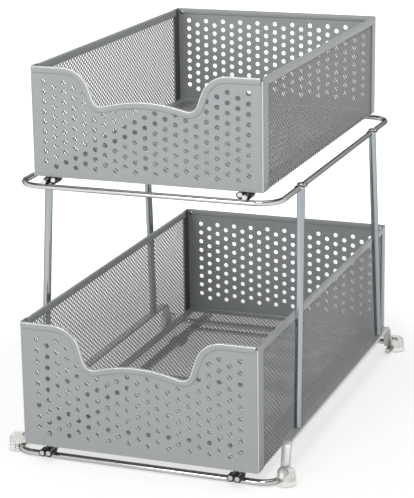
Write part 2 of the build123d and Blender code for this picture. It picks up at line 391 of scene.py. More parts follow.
def makeStrandTree():
    # a rounded bar swept along the paths, for wires, rims, borders, strips and posts
    tree, entry = newTree("sweptStrand", {
        "Width": "Float", "Height": "Float", "Corner": "Float", "Corner Steps": "Int",
        "Material": "Material"})
    line = nodeOut(tree, "GeometryNodeMeshToCurve", {"Mesh": entry["Geometry"]})
    place = nodeOut(tree, "GeometryNodeInputPosition")
    kept = nodeOut(tree, "GeometryNodeStoreNamedAttribute",
                   {"Geometry": line, "Name": "centre", "Value": place},
                   data_type="FLOAT_VECTOR", domain="POINT")
    upright = nodeOut(tree, "GeometryNodeSetCurveNormal", {"Curve": kept}, mode="Z_UP")
    box = nodeOut(tree, "GeometryNodeCurvePrimitiveQuadrilateral",
                  {"Width": entry["Width"], "Height": entry["Height"]})
    rounded = nodeOut(tree, "GeometryNodeFilletCurve", {
        "Curve": box, "Count": entry["Corner Steps"], "Radius": entry["Corner"],
        "Limit Radius": True}, mode="POLY")
    bar = nodeOut(tree, "GeometryNodeCurveToMesh", {
        "Curve": upright, "Profile Curve": rounded, "Fill Caps": True})
    centre = pointVector(tree, "centre")
    arm = vectorMaths(tree, "SUBTRACT", place, centre)
    spread = vectorMaths(tree, "MULTIPLY", arm, pointVector(tree, "spread"))
    moved = vectorMaths(tree, "ADD", centre, spread)
    shaped = nodeOut(tree, "GeometryNodeSetPosition", {"Geometry": bar, "Position": moved})
    clean = nodeOut(tree, "GeometryNodeMergeByDistance",
                    {"Geometry": shaped, "Distance": weldDistance["strand"]})
    closeTree(tree, clean, entry["Material"])
    return tree


def makeSheetTree():
    # an outline filled with a staggered field of round holes, given the sheet's thickness;
    # holes off the outline or too near its upper edges are left out
    rayHeight, upperShare = 0.01, 0.55
    tree, entry = newTree("perforatedSheet", {
        "Width": "Float", "Height": "Float", "Side Margin": "Float", "Bottom Margin": "Float",
        "Top Margin": "Float", "Columns": "Int", "Rows": "Int", "Hole Radius": "Float",
        "Hole Sides": "Int", "Edge Distance": "Float", "Thickness": "Float",
        "Material": "Material"})
    place = nodeOut(tree, "GeometryNodeInputPosition")
    split = addNode(tree, "ShaderNodeSeparateXYZ", {0: place}).outputs
    spanX = maths(tree, "SUBTRACT", entry["Width"],
                  maths(tree, "MULTIPLY", entry["Side Margin"], 2))
    stepX = maths(tree, "DIVIDE", spanX, maths(tree, "SUBTRACT", entry["Columns"], 1))
    margins = maths(tree, "ADD", entry["Bottom Margin"], entry["Top Margin"])
    stepY = maths(tree, "DIVIDE", maths(tree, "SUBTRACT", entry["Height"], margins),
                  maths(tree, "SUBTRACT", entry["Rows"], 0.5))
    spanY = maths(tree, "MULTIPLY", stepY, maths(tree, "SUBTRACT", entry["Rows"], 1))
    grid = nodeOut(tree, "GeometryNodeMeshGrid", {
        "Size X": spanX, "Size Y": spanY, "Vertices X": entry["Columns"],
        "Vertices Y": entry["Rows"]})
    fromLeft = maths(tree, "ADD", split[0], maths(tree, "DIVIDE", spanX, 2))
    column = maths(tree, "ROUND", maths(tree, "DIVIDE", fromLeft, stepX))
    drop = maths(tree, "MULTIPLY", maths(tree, "MODULO", column, 2),
                 maths(tree, "DIVIDE", stepY, 2))
    top = maths(tree, "SUBTRACT", entry["Height"], entry["Top Margin"])
    middle = maths(tree, "SUBTRACT", top, maths(tree, "DIVIDE", spanY, 2))
    rise = maths(tree, "SUBTRACT", middle, drop)
    field = nodeOut(tree, "GeometryNodeSetPosition",
                    {"Geometry": grid, "Offset": vector(tree, 0.0, rise, 0.0)})
    line = nodeOut(tree, "GeometryNodeMeshToCurve", {"Mesh": entry["Geometry"]})
    plain = nodeOut(tree, "GeometryNodeFillCurve", {"Curve": line}, mode="TRIANGLES")
    above = vectorMaths(tree, "ADD", place, (0, 0, rayHeight))
    ray = addNode(tree, "GeometryNodeRaycast", {
        "Target Geometry": plain, "Source Position": above, "Ray Direction": (0, 0, -1),
        "Ray Length": 2 * rayHeight}).outputs["Is Hit"]
    high = maths(tree, "GREATER_THAN", split[1],
                 maths(tree, "MULTIPLY", entry["Height"], upperShare))
    topEdges = nodeOut(tree, "GeometryNodeSeparateGeometry", {
        "Geometry": entry["Geometry"], "Selection": high}, domain="EDGE")
    near = addNode(tree, "GeometryNodeProximity", {0: topEdges},
                   target_element="EDGES").outputs["Distance"]
    close = maths(tree, "LESS_THAN", near, entry["Edge Distance"])
    wrong = maths(tree, "MAXIMUM", close, maths(tree, "SUBTRACT", 1, ray))
    spots = nodeOut(tree, "GeometryNodeDeleteGeometry",
                    {"Geometry": field, "Selection": wrong}, domain="POINT")
    ring = nodeOut(tree, "GeometryNodeCurvePrimitiveCircle",
                   {"Resolution": entry["Hole Sides"], "Radius": entry["Hole Radius"]})
    rings = nodeOut(tree, "GeometryNodeInstanceOnPoints", {"Points": spots, "Instance": ring})
    rings = nodeOut(tree, "GeometryNodeRealizeInstances", {"Geometry": rings})
    sheet = nodeOut(tree, "GeometryNodeFillCurve", {"Curve": allOf(tree, rings, line)},
                    mode="TRIANGLES")
    raised = nodeOut(tree, "GeometryNodeExtrudeMesh", {
        "Mesh": sheet, "Offset Scale": entry["Thickness"], "Individual": False},
        mode="FACES")
    under = nodeOut(tree, "GeometryNodeFlipFaces", {"Mesh": sheet})
    whole = nodeOut(tree, "GeometryNodeMergeByDistance", {
        "Geometry": allOf(tree, raised, under), "Distance": weldDistance["sheet"]})
    closeTree(tree, whole, entry["Material"])
    return tree


def makeMeshTree():
    # expanded metal: two sets of slanted strands with a lozenge at each crossing;
    # the sets lie a share of the thickness apart, and the lozenges are thicker than both
    layerShift, bondThickness = 0.2, 1.5
    tree, entry = newTree("expandedMetal", {
        "Length": "Float", "Height": "Float", "Long Pitch": "Float", "Short Pitch": "Float",
        "Strand": "Float", "Thickness": "Float", "Bond Length": "Float", "Bond Width": "Float",
        "Material": "Material"})
    length, height = entry["Length"], entry["Height"]
    pitch = entry["Long Pitch"]
    slope = maths(tree, "DIVIDE", entry["Short Pitch"], pitch)
    angle = maths(tree, "ARCTANGENT", slope)
    run = maths(tree, "DIVIDE", height, slope)
    back = maths(tree, "CEIL", maths(tree, "DIVIDE", run, pitch))
    count = maths(tree, "ADD", back, maths(tree, "CEIL", maths(tree, "DIVIDE", length, pitch)))
    index = nodeOut(tree, "GeometryNodeInputIndex")
    bar = nodeOut(tree, "GeometryNodeMeshCube", {
        "Size": vector(tree, 1.0, entry["Strand"], entry["Thickness"])})
    parts = []
    for rising in (True, False):
        number = maths(tree, "SUBTRACT", index, back) if rising else index
        foot = maths(tree, "MULTIPLY", maths(tree, "ADD", number, 0.5), pitch)
        if rising:
            start = maths(tree, "MAXIMUM", foot, 0)
            end = maths(tree, "MINIMUM", maths(tree, "ADD", foot, run), length)
        else:
            start = maths(tree, "MAXIMUM", maths(tree, "SUBTRACT", foot, run), 0)
            end = maths(tree, "MINIMUM", foot, length)
        middle = maths(tree, "DIVIDE", maths(tree, "ADD", start, end), 2)
        away = maths(tree, "ABSOLUTE", maths(tree, "SUBTRACT", middle, foot))
        reach = maths(tree, "DIVIDE", maths(tree, "SUBTRACT", end, start),
                      maths(tree, "COSINE", angle))
        lift = maths(tree, "MULTIPLY", entry["Thickness"], layerShift if rising else -layerShift)
        spot = vector(tree, middle, maths(tree, "MULTIPLY", away, slope), lift)
        points = nodeOut(tree, "GeometryNodePoints", {"Count": count, "Position": spot})
        turn = maths(tree, "MULTIPLY", angle, 1 if rising else -1)
        parts.append(nodeOut(tree, "GeometryNodeInstanceOnPoints", {
            "Points": points, "Selection": maths(tree, "GREATER_THAN", reach, 0.0),
            "Instance": bar, "Rotation": vector(tree, 0.0, 0.0, turn),
            "Scale": vector(tree, reach, 1.0, 1.0)}))
    halfLong = maths(tree, "DIVIDE", pitch, 2)
    halfShort = maths(tree, "DIVIDE", entry["Short Pitch"], 2)
    across = maths(tree, "FLOOR", maths(tree, "DIVIDE", length, halfLong))
    rows = maths(tree, "FLOOR", maths(tree, "DIVIDE", height, halfShort))
    spanX = maths(tree, "MULTIPLY", across, halfLong)
    spanY = maths(tree, "MULTIPLY", rows, halfShort)
    grid = nodeOut(tree, "GeometryNodeMeshGrid", {
        "Size X": spanX, "Size Y": spanY, "Vertices X": maths(tree, "ADD", across, 1),
        "Vertices Y": maths(tree, "ADD", rows, 1)})
    centre = vector(tree, maths(tree, "DIVIDE", spanX, 2), maths(tree, "DIVIDE", spanY, 2), 0.0)
    grid = nodeOut(tree, "GeometryNodeSetPosition", {"Geometry": grid, "Offset": centre})
    place = nodeOut(tree, "GeometryNodeInputPosition")
    split = addNode(tree, "ShaderNodeSeparateXYZ", {0: place}).outputs
    steps = maths(tree, "ADD", maths(tree, "ROUND", maths(tree, "DIVIDE", split[0], halfLong)),
                  maths(tree, "ROUND", maths(tree, "DIVIDE", split[1], halfShort)))
    even = maths(tree, "LESS_THAN", maths(tree, "MODULO", steps, 2), 0.5)
    knots = nodeOut(tree, "GeometryNodeDeleteGeometry",
                    {"Geometry": grid, "Selection": even}, domain="POINT")
    depth = maths(tree, "MULTIPLY", entry["Thickness"], bondThickness)
    lozenge = nodeOut(tree, "GeometryNodeMeshCylinder",
                      {"Vertices": 4, "Radius": 0.5, "Depth": depth}, fill_type="NGON")
    parts.append(nodeOut(tree, "GeometryNodeInstanceOnPoints", {
        "Points": knots, "Instance": lozenge,
        "Scale": vector(tree, entry["Bond Length"], entry["Bond Width"], 1.0)}))
    closeTree(tree, allOf(tree, *parts), entry["Material"])
    return tree


def makeCopyTree():
    # one small part set down at every point, turned as the point says
    tree, entry = newTree("placedCopies", {"Copy": "Object", "Material": "Material"})
    model = addNode(tree, "GeometryNodeObjectInfo",
                    {"Object": entry["Copy"], "As Instance": True},
                    transform_space="ORIGINAL").outputs["Geometry"]
    copies = nodeOut(tree, "GeometryNodeInstanceOnPoints", {
        "Points": entry["Geometry"], "Instance": model,
        "Rotation": pointVector(tree, "turn")})
    closeTree(tree, copies, entry["Material"])
    return tree


strandTree = makeStrandTree()
sheetTree = makeSheetTree()
meshTree = makeMeshTree()
copyTree = makeCopyTree()


# arc steps in each corner of a bar's section
cornerSteps = {"sheet": 1, "lip": 2, "shadeStrip": 2, "border": 3, "highlightLine": 3, "rim": 4, "strip": 4,
               "guideBlock": 4, "wire": 6, "baseRod": 7, "post": 8}


def strand(paths, width, height, corner, kind, finish, closed=False, spread=None):
    return runTree(strandTree, pathMesh(paths, closed, spread), {
        "Width": width, "Height": height, "Corner": corner, "Corner Steps": cornerSteps[kind],
        "Material": paint[finish]})


def roundWire(paths, radius, finish, kind="wire", closed=False, spread=None):
    return strand(paths, 2 * radius, 2 * radius, radius, kind, finish, closed, spread)


def copies(model, points, turns, finish):
    holder = bpy.data.objects.new("copyModel", model)
    scene.collection.objects.link(holder)
    made = runTree(copyTree, pointMesh(points, turns), {
        "Copy": holder, "Material": paint[finish]})
    bpy.data.objects.remove(holder)
    return made


print("geometry trees made")


# baskets

basketLook = {
    "sheet": 0.0012,
    "foldRadius": 0.0025,
    "foldSteps": 6,
    "foldCorner": 0.0003,
    "relief": 0.0026,  # the front panel's folds stop this far below its top edge
    "coverCorner": 0.0001,
    "coverLap": 0.0004,
    "flange": 0.015,
    "border": 0.0065,  # raised band that follows the scoop
    "borderProud": 0.001,
    "borderCorner": 0.0014,
    "meshLap": 0.003,
    "rimWidth": 0.0036,
    "rimHeight": 0.008,
    "rimCorner": 0.0012,
}
scoopShares = {  # shares of the panel's width, the two depths of its height
    "shoulder": 0.271,
    "trough": 0.2146,
    "troughDepth": 0.3425,
    "middleDepth": 0.237,
    "shoulderRadius": 0.114,
    "troughRadius": 0.041,
    "middleRadius": 0.58,
}
perforation = {
    "Columns": 21,
    "Rows": 9,
    "Hole Radius": 0.0026,
    "Hole Sides": 20,
    "Edge Distance": 0.0062,
    "Thickness": basketLook["sheet"],
}
holeMargins = {
    "upperFront": {"Side Margin": 0.0145, "Bottom Margin": 0.0108, "Top Margin": 0.0147},
    "upperBack": {"Side Margin": 0.0145, "Bottom Margin": 0.0150, "Top Margin": 0.0140},
    "lowerFront": {"Side Margin": 0.0185, "Bottom Margin": 0.0140, "Top Margin": 0.0160},
    "lowerBack": {"Side Margin": 0.0185, "Bottom Margin": 0.0172, "Top Margin": 0.0175},
}
expandedMetal = {
    "Long Pitch": 0.0068,
    "Short Pitch": 0.0051,
    "Strand": 0.0008,
    "Thickness": 0.0007,
    "Bond Length": 0.0025,
    "Bond Width": 0.0016,
}
# painted highlight: size and place of the bright edge lines
highlightLook = {
    "lipWidth": 0.0010,
    "lipProud": 0.0002,
    "lipCorner": 0.0004,
    "lineRadius": 0.0005,
    "lineProud": 0.0002,
    "lineEnd": 0.0006,
    "backLineInset": 0.0020,
    "backLineProud": 1 / 3,  # share of the line's radius
}
# painted shade: size of the dark strips inside the back folds
paintedShadeLook = {"thickness": 0.0017, "corner": 0.0003, "sink": 0.0001, "topDrop": 0.001}
rivetLook = {
    "radius": 0.0021,
    "height": 0.0009,
    "dome": [(1, 0), (1, 0.3), (0.7, 0.85)],  # shares of radius and height
    "sides": 14,
    "inset": 0.0065,
    "drop": 0.0042,
}


def scoopPath(width, height, half):
    share = scoopShares
    shoulder = share["shoulder"] * width
    trough = share["trough"] * width
    low = (1 - share["troughDepth"]) * height
    middle = (1 - share["middleDepth"]) * height
    corners = [(-half, height), (-shoulder, height), (-trough, low), (0, middle),
               (trough, low), (shoulder, height), (half, height)]
    radii = [0, share["shoulderRadius"], share["troughRadius"], share["middleRadius"],
             share["troughRadius"], share["shoulderRadius"], 0]
    return roundCorners([Vector((x, y, 0)) for x, y in corners], [r * width for r in radii])


def insetPath(path, distance):
    # a copy of an open path in the XY plane, moved to the right of its direction
    moved = []
    for i, point in enumerate(path):
        ahead = path[min(i + 1, len(path) - 1)] - path[max(i - 1, 0)]
        moved.append(point + Vector((ahead.y, -ahead.x, 0)).normalized() * distance)
    return moved


def uprightPlace(halfDepth, floorZ):
    # stands a panel that is drawn flat at the front of its basket
    spot = Matrix.Translation((0, basketLook["sheet"] - halfDepth, floorZ))
    return spot @ turned(90, "X")


def panelMesh(tier, width, height, halfDepth, floorZ, scooped):
    look = basketLook
    half = width / 2 - look["foldRadius"]
    top = scoopPath(width, height, half) if scooped else [
        Vector((-half, height, 0)), Vector((half, height, 0))]
    outline = [Vector((-half, 0, 0))] + top + [Vector((half, 0, 0))]
    margins = holeMargins[tier + ("Front" if scooped else "Back")]
    values = dict(perforation, **margins, Width=width, Height=height,
                  Material=paint["silverCoat"])
    sheet = runTree(sheetTree, pathMesh([outline], closed=True), values)
    thick = look["sheet"] + 2 * look["borderProud"]
    border = strand([insetPath(top, look["border"] / 2)], look["border"], thick,
                    look["borderCorner"], "border", "silverCoat")
    border = placed(border, Matrix.Translation((0, 0, look["sheet"] / 2)))
    flat = placed(joined([sheet, border]), uprightPlace(halfDepth, floorZ))
    relief = look["relief"] if scooped else 0
    edge, front = width / 2 - look["sheet"] / 2, look["sheet"] / 2 - halfDepth
    back, middle = look["flange"] - halfDepth, floorZ + (height - relief) / 2
    bends = []
    for side in (-1, 1):
        points = [Vector((side * x, y, middle)) for x, y in (
            (half, front), (edge, front), (edge, back))]
        bends.append(roundCorners(points, look["foldRadius"] - look["sheet"] / 2,
                                  segments=look["foldSteps"]))
    parts = [flat, strand(bends, look["sheet"], height - relief, look["foldCorner"], "sheet",
                          "silverCoat")]
    if relief:
        # above the relief only the straight part of the flange goes on, beside a small gap
        top = floorZ + height - relief / 2
        covers = bothSides(edge, (look["foldRadius"] - halfDepth, top), (back, top))
        parts.append(strand(covers, look["sheet"], relief + look["coverLap"],
                            look["coverCorner"], "sheet", "silverCoat"))
    return joined(parts)


def paintedHighlightLines(tier, width, height, halfDepth, floorZ):
    # painted highlight: bright lines along the scoop, the folds and the back panel's cut edges
    # stand in for the light these edges catch
    look, highlight = basketLook, highlightLook
    radius, bend = highlight["lineRadius"], look["foldRadius"]
    top = scoopPath(width, height, width / 2 - bend)
    thick = look["sheet"] + 2 * look["borderProud"] + 2 * highlight["lipProud"]
    lip = strand([insetPath(top, highlight["lipWidth"] / 2 - highlight["lipProud"])], highlight["lipWidth"],
                 thick, highlight["lipCorner"], "lip", "paintedHighlight")
    lip = placed(lip, Matrix.Translation((0, 0, look["sheet"] / 2)))
    lip = placed(lip, uprightPlace(halfDepth, floorZ))
    reach = bend - (bend - radius + highlight["lineProud"]) * math.sqrt(0.5)
    foldX, foldY = width / 2 - reach, reach - halfDepth
    backX = width / 2 - highlight["backLineInset"]
    backY = halfDepth - look["sheet"] + radius * highlight["backLineProud"]
    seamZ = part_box(tier + "_basket_floor_seam")[1].z + highlight["lineProud"]
    lines = [[Vector((-backX, backY, seamZ)), Vector((backX, backY, seamZ))]]
    low, high = floorZ + highlight["lineEnd"], floorZ + height - look["relief"] - highlight["lineEnd"]
    for side in (-1, 1):
        for x, y in ((foldX, foldY), (backX, backY)):
            lines.append([Vector((side * x, y, low)), Vector((side * x, y, high))])
    return joined([lip, roundWire(lines, radius, "paintedHighlight", "highlightLine")])


def paintedShadeStrips(tier, width, halfDepth):
    # painted shade: dark strips inside the back panel's folds, at the ends of the mesh walls,
    # stand in for the shade that falls there
    look, shadeStrip = basketLook, paintedShadeLook
    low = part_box(tier + "_basket_floor_seam")[1].z
    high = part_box(tier + "_basket_back_panel")[1].z - shadeStrip["topDrop"]
    x = width / 2 - look["sheet"] - shadeStrip["thickness"] / 2 + shadeStrip["sink"]
    middle = (low + high) / 2
    paths = bothSides(x, (halfDepth - look["flange"], middle),
                      (halfDepth - look["foldRadius"], middle))
    return strand(paths, shadeStrip["thickness"], high - low, shadeStrip["corner"], "shadeStrip", "paintedShade")


def sideRims(width, height, halfDepth, floorZ):
    look = basketLook
    x = width / 2 - look["rimWidth"] / 2
    y = halfDepth - look["flange"]
    z = floorZ + height - look["rimHeight"] / 2
    return strand(bothSides(x, (-y, z), (y, z)), look["rimWidth"], look["rimHeight"],
                  look["rimCorner"], "rim", "silverCoat")


def backRivets(width, height, halfDepth, floorZ):
    look = rivetLook
    radius, rise = look["radius"], look["height"]
    profile = [(0, 0)] + [(radius * r, rise * z) for r, z in look["dome"]] + [(0, rise)]
    spots = [(side * (width / 2 - look["inset"]),
              halfDepth - basketLook["sheet"] - basketLook["borderProud"],
              floorZ + height - look["drop"]) for side in (-1, 1)]
    turns = [(math.radians(90), 0, 0)] * 2
    return copies(lathe(profile, look["sides"]), spots, turns, "screwSteel")


def wallMesh(width, length, place):
    values = dict(expandedMetal, Length=length, Height=width, Material=paint["meshCoat"])
    return placed(runTree(meshTree, bpy.data.meshes.new("empty"), values), place)


def buildBasket(tier):
    body, look = tier + "_basket", basketLook
    low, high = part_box(body + "_front_panel")
    sideLow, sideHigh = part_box(body + "_right_mesh")
    width, height, floorZ = high.x - low.x, high.z - low.z, low.z
    halfDepth = sideHigh.y + look["sheet"]

    front = panelMesh(tier, width, height, halfDepth, floorZ, True)
    addPiece(tier + "FrontPanel", front, "silverCoat", body, [body + "_front_panel"])
    back = placed(panelMesh(tier, width, height, halfDepth, floorZ, False), turned(180, "Z"))
    addPiece(tier + "BackPanel", back, "silverCoat", body, [body + "_back_panel"])

    # painted highlights along the scoop, the folds and the cut edges
    edges = paintedHighlightLines(tier, width, height, halfDepth, floorZ)
    addPiece(tier + "WornEdges", edges, "paintedHighlight", body)
    # painted shade strips inside the back folds
    addPiece(tier + "BackHems", paintedShadeStrips(tier, width, halfDepth), "paintedShade", body)

    upright = Matrix(((0, 0, 1, 0), (1, 0, 0, 0), (0, 1, 0, 0), (0, 0, 0, 1)))  # X to Y, Y to Z
    meshX = (sideLow.x + sideHigh.x) / 2
    meshEnd = halfDepth - look["flange"] + look["meshLap"]
    for side, name in ((-1, "Left"), (1, "Right")):
        place = Matrix.Translation((side * meshX, -meshEnd, sideLow.z)) @ upright
        wall = wallMesh(sideHigh.z - sideLow.z - look["meshLap"], 2 * meshEnd, place)
        addPiece(tier + name + "Mesh", wall, "meshCoat", body, [f"{body}_{name.lower()}_mesh"])
    floorLow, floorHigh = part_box(body + "_floor_mesh")
    place = Matrix.Translation((floorHigh.x, floorLow.y, (floorLow.z + floorHigh.z) / 2))
    place = place @ turned(90, "Z")
    floor = wallMesh(floorHigh.x - floorLow.x, floorHigh.y - floorLow.y, place)
    addPiece(tier + "FloorMesh", floor, "meshCoat", body, [body + "_floor_mesh"])

    rims = sideRims(width, height, halfDepth, floorZ)
    addPiece(tier + "SideRims", rims, "silverCoat", body,
             [f"{body}_{hand}_rim" for hand in ("left", "right")])
    rivets = backRivets(width, height, halfDepth, floorZ)
    addPiece(tier + "Rivets", rivets, "screwSteel", body)
    nodes[body + "_floor_seam"].data.materials[0] = paint["silverCoat"]


for tier in ("upper", "lower"):
    buildBasket(tier)
    print(tier, "basket made")


# wires that run straight along Y or X, read from their CAD boxes

def wireAlongY(node):
    low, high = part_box(node)
    middle = (low + high) / 2
    return [Vector((middle.x, y, middle.z)) for y in (low.y, high.y)]


def buildStraightWires():
    hands, tiers = ("left", "right"), ("upper", "lower")
    groups = {tier + "Runners": (tier + "_basket", [
        f"{tier}_basket_{hand}_runner" for hand in hands]) for tier in tiers}
    groups["rails"] = ("frame", [f"{tier}_rail_{hand}" for tier in tiers for hand in hands])
    for name, (body, members) in groups.items():
        low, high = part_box(members[0])
        paths = [wireAlongY(node) for node in members]
        mesh = roundWire(paths, (high.x - low.x) / 2, "brightWire")
        addPiece(name, mesh, "brightWire", body, members)
    low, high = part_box("lower_basket_hangers")
    z, radius = (low.z + high.z) / 2, (high.z - low.z) / 2
    paths = [[Vector((low.x, y, z)), Vector((high.x, y, z))]
             for y in (low.y + radius, 0, high.y - radius)]
    mesh = roundWire(paths, radius, "brightWire")
    addPiece("lowerHangers", mesh, "brightWire", "lower_basket", ["lower_basket_hangers"])


buildStraightWires()
print("straight wires made")


# frame

loopLook = {
    "corner": 0.024,
    "cornerSteps": 12,
    "padWidth": 0.011,  # the flats where the posts meet the loop
    "padThickness": 0.0032,
    "padHalf": 0.0048,
    "padBlend": 0.0045,
    "padReachShare": 0.63,
    "markStep": 0.0012,  # points along each side, close together round the flats
    "markCount": 9,
}


def buildLoop():
    look = loopLook
    low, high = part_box("upper_loop")
    radius = (high.z - low.z) / 2
    x, y, z = high.x - look["padWidth"] / 2, high.y - radius, high.z - radius
    padY = look["padReachShare"] * y
    marks = [padY + k * look["markStep"]
             for k in range(-look["markCount"], look["markCount"] + 1)]
    sides = sorted([-m for m in marks] + marks)
    square = [Vector((x, -y, z)), Vector((x, y, z)), Vector((-x, y, z)), Vector((-x, -y, z))]
    corners = roundCorners(square, look["corner"], closed=True, segments=look["cornerSteps"])
    arc = look["cornerSteps"] + 1  # points in each corner
    path = corners[:arc] + [Vector((x, m, z)) for m in sides] + corners[arc:3 * arc]
    path += [Vector((-x, -m, z)) for m in sides] + corners[3 * arc:]
    wide = look["padWidth"] / (2 * radius)
    thin = look["padThickness"] / (2 * radius)

    def flattened(point):
        away = abs(abs(point.y) - padY) - look["padHalf"]
        press = 1 - min(max(away / look["padBlend"], 0), 1)
        press = press * press * (3 - 2 * press)
        return (1 + (wide - 1) * press, 1, 1 + (thin - 1) * press)

    mesh = roundWire([path], radius, "brightWire", closed=True, spread=flattened)
    addPiece("upperLoop", mesh, "brightWire", "frame", ["upper_loop"])


baseLook = {"bend": 0.020, "bendSteps": 12}


def buildBaseRods():
    for way, end in ((-1, "front"), (1, "rear")):
        low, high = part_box("base_rod_" + end)
        radius, z = (high.z - low.z) / 2, (high.z + low.z) / 2
        x = high.x - radius
        y = high.y - radius if way > 0 else low.y + radius
        endY = low.y if way > 0 else high.y
        points = [Vector((x, endY, z)), Vector((x, y, z)),
                  Vector((-x, y, z)), Vector((-x, endY, z))]
        path = roundCorners(points, baseLook["bend"], segments=baseLook["bendSteps"])
        mesh = roundWire([path], radius, "brightWire", "baseRod")
        addPiece(end + "BaseRod", mesh, "brightWire", "frame", ["base_rod_" + end])


stripLook = {
    "width": 0.010,
    "thickness": 0.003,
    "corner": 0.0013,
    "topY": 0.187,
    "bend": 0.007,
    "bendSteps": 8,
}


def buildSideStrips():
    look = stripLook
    low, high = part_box("base_side_right")
    x, top = (low.x + high.x) / 2, high.z - look["thickness"] / 2
    corners = bothSides(x, (low.y + look["thickness"] / 2, low.z), (-look["topY"], top),
                        (look["topY"], top), (high.y - look["thickness"] / 2, low.z))
    paths = [roundCorners(path, look["bend"], segments=look["bendSteps"]) for path in corners]
    mesh = strand(paths, look["width"], look["thickness"], look["corner"], "strip", "stripCoat")
    addPiece("sideStrips", mesh, "stripCoat", "frame", ["base_side_left", "base_side_right"])


def fourCorners(kind):
    # way is -1 at the front, side is -1 at the left
    for way, end in ((-1, "front"), (1, "rear")):
        for side, hand in ((-1, "left"), (1, "right")):
            yield f"{kind}_{end}_{hand}", way, side


postLook = {"radius": 0.004, "topInset": 0.0055}


def buildPosts():
    radius = postLook["radius"]
    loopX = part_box("upper_loop")[1].x - postLook["topInset"]
    paths, members = [], []
    for name, way, side in fourCorners("post"):
        low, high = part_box(name)
        footX = side * (max(abs(low.x), abs(high.x)) - radius)
        outer, inner = (low.y, high.y) if way < 0 else (high.y, low.y)
        paths.append([Vector((footX, outer - way * radius, low.z)),
                      Vector((side * loopX, inner + way * radius, high.z))])
        members.append(name)
    mesh = roundWire(paths, radius, "postCoat", "post")
    addPiece("posts", mesh, "postCoat", "frame", members)
    return paths


screwLook = {
    "radius": 0.0044,
    "height": 0.0024,
    "head": [(1, 0), (1, 0.25), (0.93, 0.55), (0.72, 0.84), (0.42, 0.97)],  # shares of both
    "sides": 20,
    "turn": 0.4,
    "shank": 0.0016,
    "shankLength": 0.006,
    "crossWidth": 0.0011,
    "crossReach": 0.0024,
    "crossDepth": 0.0013,
}


def cutBy(mesh, cutters):
    # boolean difference, returned as a plain mesh
    target = bpy.data.objects.new("cutTarget", mesh)
    scene.collection.objects.link(target)
    tools = []
    for cutter in cutters:
        tool = bpy.data.objects.new("cutTool", cutter)
        scene.collection.objects.link(tool)
        modifier = target.modifiers.new("cut", "BOOLEAN")
        modifier.operation = "DIFFERENCE"
        modifier.solver = "EXACT"
        modifier.object = tool
        tools.append(tool)
    bpy.context.view_layer.update()
    made = bpy.data.meshes.new_from_object(
        target.evaluated_get(bpy.context.evaluated_depsgraph_get()))
    for thing in [target] + tools:
        bpy.data.objects.remove(thing)
    return made


def boxMesh(size, centre):
    whole = bmesh.new()
    bmesh.ops.create_cube(whole, size=1)
    bmesh.ops.scale(whole, vec=size, verts=whole.verts)
    bmesh.ops.translate(whole, vec=centre, verts=whole.verts)
    return meshFrom(whole, "box")


def buildScrews(posts):
    look = screwLook
    rise, shank, length = look["height"], look["shank"], look["shankLength"]
    head = [(look["radius"] * r, rise * z) for r, z in look["head"]]
    profile = [(0, -length), (shank, -length), (shank, 0)] + head + [(0, rise)]
    reach, wide, deep = look["crossReach"] * 2, look["crossWidth"], look["crossDepth"] * 2
    screw = cutBy(lathe(profile, look["sides"]), [boxMesh((reach, wide, deep), (0, 0, rise)),
                                                  boxMesh((wide, reach, deep), (0, 0, rise))])
    for name, node, end, flip in (("loopScrews", "loop_screws", 1, 0.0),
                                  ("baseScrews", "base_screws", 0, math.pi)):
        low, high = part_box(node)
        z = high.z - rise if end else low.z + rise
        spots = [(post[end].x, post[end].y, z) for post in posts]
        turns = [(flip, 0, look["turn"])] * len(spots)
        mesh = copies(screw, spots, turns, "screwSteel")
        addPiece(name, mesh, "screwSteel", "frame", [node], sharp=30)


footLook = {
    "profile": [(0, 0), (10.4, 0), (11.0, 0.5), (11.0, 1.4), (10.4, 2.4), (9.8, 4.0), (9.5, 6.5),
                (9.5, 9.0), (9.3, 11.5), (8.8, 13.8), (7.9, 15.5), (6.5, 16.6), (3.5, 17.0),
                (0, 17.0)],  # radius and height in millimetres
    "sides": 40,
    "slot": (0.02, 0.03, 0.0064),
    "slotZ": 0.0055,
}


def buildFeet():
    look = footLook
    body = lathe([(r / 1000, z / 1000) for r, z in look["profile"]], look["sides"])
    slot = boxMesh(look["slot"], (-look["slot"][0] / 2, 0, look["slotZ"]))
    whole = bmesh.new()
    whole.from_mesh(cutBy(body, [slot]))
    bmesh.ops.remove_doubles(whole, verts=whole.verts, dist=weldDistance["foot"])
    bmesh.ops.dissolve_degenerate(whole, edges=whole.edges, dist=weldDistance["foot"])
    foot = meshFrom(whole, "foot")
    spots, turns, members = [], [], []
    for name, _, side in fourCorners("foot"):
        low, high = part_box(name)
        spots.append(((low.x + high.x) / 2, (low.y + high.y) / 2, 0))
        turns.append((0, 0, 0 if side > 0 else math.pi))
        members.append(name)
    mesh = copies(foot, spots, turns, "clearVinyl")
    addPiece("bumperFeet", mesh, "clearVinyl", "frame", members, sharp=50)


guideLook = {
    "length": 0.0125,
    "wall": 0.0017,
    "bridge": 0.0042,
    "bridgeCorner": 0.0012,
    "bridgeSetback": 0.0003,
    "lobeDrop": 0.0004,
}


